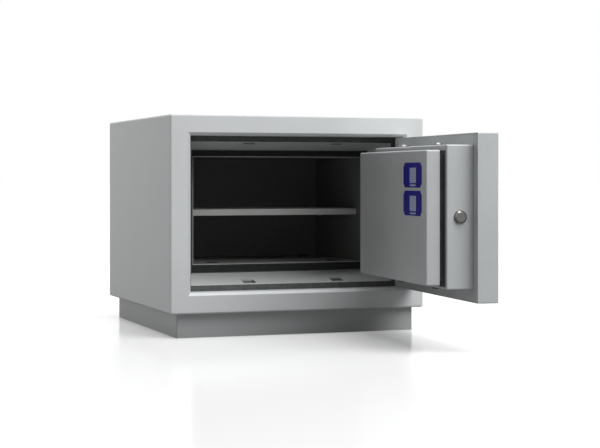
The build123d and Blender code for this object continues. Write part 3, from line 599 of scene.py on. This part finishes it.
def scooped_plate(name, low, high, scoop, depth0, depth1):
    """A thin plate in the door's shut place, its corners cut by quarter rounds."""
    form = bmesh.new()
    ring = []
    turn_steps = 8
    for cx, cz, start in (
        (low[0], low[2], pi / 2), (high[0], low[2], pi), (high[0], high[2], 3 * pi / 2),
        (low[0], high[2], 0.0),
    ):
        for n in range(turn_steps + 1):
            turn = start - n * pi / 2 / turn_steps
            ring.append((cx + scoop * cos(turn), cz + scoop * sin(turn)))
    near = [form.verts.new((x, depth0, z)) for x, z in ring]
    far = [form.verts.new((x, depth1, z)) for x, z in ring]
    form.faces.new(near)
    form.faces.new(list(reversed(far)))
    for n in range(len(ring)):
        m = (n + 1) % len(ring)
        form.faces.new((near[m], near[n], far[n], far[m]))
    bmesh.ops.recalc_face_normals(form, faces=form.faces)
    mesh = bpy.data.meshes.new(name)
    form.to_mesh(mesh)
    form.free()
    mesh.transform(shut_to_open)
    return mesh


plate_blue = powder_coat("plate_dark_blue_print", (0.018, 0.014, 0.27), 0.35, peel=0.03)
field_pale = powder_coat("plate_pale_field", (0.50, 0.54, 0.72), 0.4, peel=0.03)
rule_blue = powder_coat("plate_ruled_lines", (0.16, 0.17, 0.34), 0.4, peel=0.03)
plate_thick = 0.0005
plate_scoop = 0.007
print_scoop = 0.0006
print_thick = 0.00012
rule_centre = (0.0518, 0.0125)
rule_pitch = 0.0036
rule_lift = 0.00015
rule_bar = (0.031, 0.0001, 0.0007)
ruled_tree = ruled_field_tree()
for node, name in (
    ("upper_label_plate", "upper_plate"), ("lower_label_plate", "lower_plate")
):
    low, high = shut_box(node)
    face_y = low[1] + plate_thick
    plate = add_piece(
        name, scooped_plate(name, low, high, plate_scoop, low[1], face_y),
        plate_blue, node,
    )
    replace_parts(plate, node)
    for part, x0, x1, z0, z1 in (
        ("field", 0.0333, 0.0703, 0.0095, 0.0405),
        ("footer", 0.0345, 0.0691, 0.0030, 0.0062),
    ):
        field_low = (low[0] + x0, 0, low[2] + z0)
        field_high = (low[0] + x1, 0, low[2] + z1)
        field = scooped_plate(
            f"{name}_{part}", field_low, field_high, print_scoop, face_y,
            face_y + print_thick,
        )
        add_piece(f"{name}_{part}", field, field_pale, node)
    rules = grown(
        ruled_tree, f"{name}_rules",
        First=(low[0] + rule_centre[0], face_y + rule_lift, low[2] + rule_centre[1]),
        Pitch=(0.0, 0.0, rule_pitch), Count=8, Bar=rule_bar, Ink=rule_blue,
    )
    rules.transform(shut_to_open)
    add_piece(f"{name}_rules", rules, rule_blue, node)

# ---- Bolts --------------------------------------------------------------------
# Five turned steel bolts with chamfered noses: one towards the free edge, two up and
# two down. Flat bars tie each group to the cam on the handle's spindle.

bolt_steel = machined_steel(
    "bolt_turned_steel", (0.18, 0.18, 0.176), 0.30, stretch=(70, 70, 70),
    bloom_change=0.08, line_depth=0.06,
)
soften("side_bolt", "side_locking_bolt", 0.0004, bolt_steel)
soften("top_bolts", "top_locking_bolts", 0.0004, bolt_steel)
soften("bottom_bolts", "bottom_locking_bolts", 0.0004, bolt_steel)
bar_zinc = machined_steel(
    "bar_zinc", (0.62, 0.61, 0.55), 0.36, stretch=(500, 500, 40)
)
finish_nodes(
    bar_zinc, "side_bolt_bar", "top_bolt_bar", "bottom_bolt_bar", "bolt_guides",
    "guide_screws", "bolt_cam",
)

# ---- Lock ---------------------------------------------------------------------
# A shallow zinc-plated case screwed to the leaf's back plate, holding five brass-
# coloured levers on a post and the deadbolt that blocks the bolt bars.

case_zinc = machined_steel("lock_case_zinc", (0.60, 0.60, 0.57), 0.4)
finish_nodes(case_zinc, "lock_case", "lock_cover", "lock_screws")
lever_brass = machined_steel("lock_lever_brass", (0.62, 0.50, 0.26), 0.33)
finish_nodes(lever_brass, "lock_levers", "lock_lever_post", "lock_deadbolt")

# ---- Handle -------------------------------------------------------------------
# A cast lever on a round rose, satin chromed, with the spindle and its bush behind.

satin_chrome = machined_steel(
    "satin_chrome", (0.74, 0.74, 0.73), 0.24, stretch=(900, 60, 60),
    bloom_change=0.04, line_depth=0.02,
)
soften("handle_lever", "lever_handle", 0.0010, satin_chrome)
soften("handle_rose", "lever_rose", 0.0005, satin_chrome)
spindle_steel = machined_steel("spindle_steel", (0.52, 0.51, 0.49), 0.35)
finish_nodes(spindle_steel, "handle_spindle", "spindle_bush")

# ---- Keyhole ------------------------------------------------------------------
# A satin-chromed plate round the keyhole, with a drop-shaped cover hanging on a rivet.

key_chrome = machined_steel(
    "keyhole_chrome", (0.74, 0.74, 0.73), 0.26, stretch=(60, 60, 800),
    bloom_change=0.04, line_depth=0.02,
)
soften("key_escutcheon", "keyhole_plate", 0.0006, key_chrome)
soften("keyhole_cover", "keyhole_drop_cover", 0.0004, key_chrome)
soften("cover_rivet", "cover_pivot_rivet", 0.0003, key_chrome)

# ---- Studio -------------------------------------------------------------------
# A pale floor that runs on to the horizon, a bright even backdrop, a soft overhead
# light, a soft box high in front on the right, and a weak one low behind on the left.

floor_reach = 60.0
floor_mesh = bpy.data.meshes.new("studio_floor")
floor_mesh.from_pydata([
    (-floor_reach, -floor_reach, 0), (floor_reach, -floor_reach, 0),
    (floor_reach, floor_reach, 0), (-floor_reach, floor_reach, 0),
], [], [(0, 1, 2, 3)])
floor = bpy.data.objects.new("studio_floor", floor_mesh)
bpy.context.scene.collection.objects.link(floor)
floor_finish = bpy.data.materials.new("white_studio_floor")
floor_finish.use_nodes = True
floor_tree = floor_finish.node_tree
floor_shader = floor_tree.nodes["Principled BSDF"]
floor_shader.inputs["Roughness"].default_value = 0.16
floor_path = floor_tree.nodes.new("ShaderNodeLightPath")
floor_tone = floor_tree.nodes.new("ShaderNodeMix")
floor_tone.data_type = "RGBA"
floor_tone.inputs["A"].default_value = (0.20, 0.20, 0.20, 1)
floor_tone.inputs["B"].default_value = (0.95, 0.95, 0.95, 1)
floor_lift = floor_tree.nodes.new("ShaderNodeMath")
floor_lift.operation = "MULTIPLY"
floor_lift.inputs[1].default_value = 0.20
floor_link = floor_tree.links.new
floor_link(floor_path.outputs["Is Camera Ray"], floor_tone.inputs["Factor"])
floor_link(floor_tone.outputs["Result"], floor_shader.inputs["Base Color"])
floor_link(floor_path.outputs["Is Camera Ray"], floor_lift.inputs[0])
floor_link(floor_lift.outputs["Value"], floor_shader.inputs["Emission Strength"])
floor_shader.inputs["Emission Color"].default_value = (1, 1, 1, 1)
floor.data.materials.append(floor_finish)

world = bpy.data.worlds.new("studio")
bpy.context.scene.world = world
world.use_nodes = True
sky = world.node_tree
backdrop = sky.nodes["Background"]
backdrop.inputs["Color"].default_value = (1, 1, 1, 1)
sky_path = sky.nodes.new("ShaderNodeLightPath")
sky_level = sky.nodes.new("ShaderNodeMapRange")
sky_level.inputs["To Min"].default_value = 1.0
sky_level.inputs["To Max"].default_value = 0.10
sky.links.new(sky_path.outputs["Is Diffuse Ray"], sky_level.inputs["Value"])
sky.links.new(sky_level.outputs["Result"], backdrop.inputs["Strength"])

overhead_lamp = bpy.data.lights.new("overhead_light", "SUN")
overhead_lamp.energy = 2.0
overhead_lamp.angle = radians(30)
overhead_light = bpy.data.objects.new("overhead_light", overhead_lamp)
bpy.context.scene.collection.objects.link(overhead_light)
downwards = Vector((-0.05, 0.15, -0.98))
overhead_light.rotation_euler = downwards.to_track_quat("-Z", "Y").to_euler()


def soft_box(name, place, aim, size, power):
    """A square soft light at a place, turned to face a point."""
    lamp = bpy.data.lights.new(name, "AREA")
    lamp.size = size
    lamp.energy = power
    light = bpy.data.objects.new(name, lamp)
    bpy.context.scene.collection.objects.link(light)
    light.location = place
    towards = Vector(aim) - Vector(place)
    light.rotation_euler = towards.to_track_quat("-Z", "Y").to_euler()


soft_box("key_light", (1.0, -2.0, 1.9), (0, -0.3, 0.35), 1.7, 47)
soft_box("side_light", (-2.6, 1.3, 0.8), (-0.3, 0, 0.28), 1.4, 14)

camera_data = bpy.data.cameras.new("camera")
camera_data.lens = 92.78
camera_data.sensor_width = 36.0
camera_data.shift_y = -0.0793
camera = bpy.data.objects.new("camera", camera_data)
bpy.context.scene.collection.objects.link(camera)
camera.location = (-1.190, -3.572, 0.357)
camera.rotation_euler = (radians(90), 0, radians(-19.933))
bpy.context.scene.camera = camera

bpy.context.scene.view_settings.view_transform = "Standard"
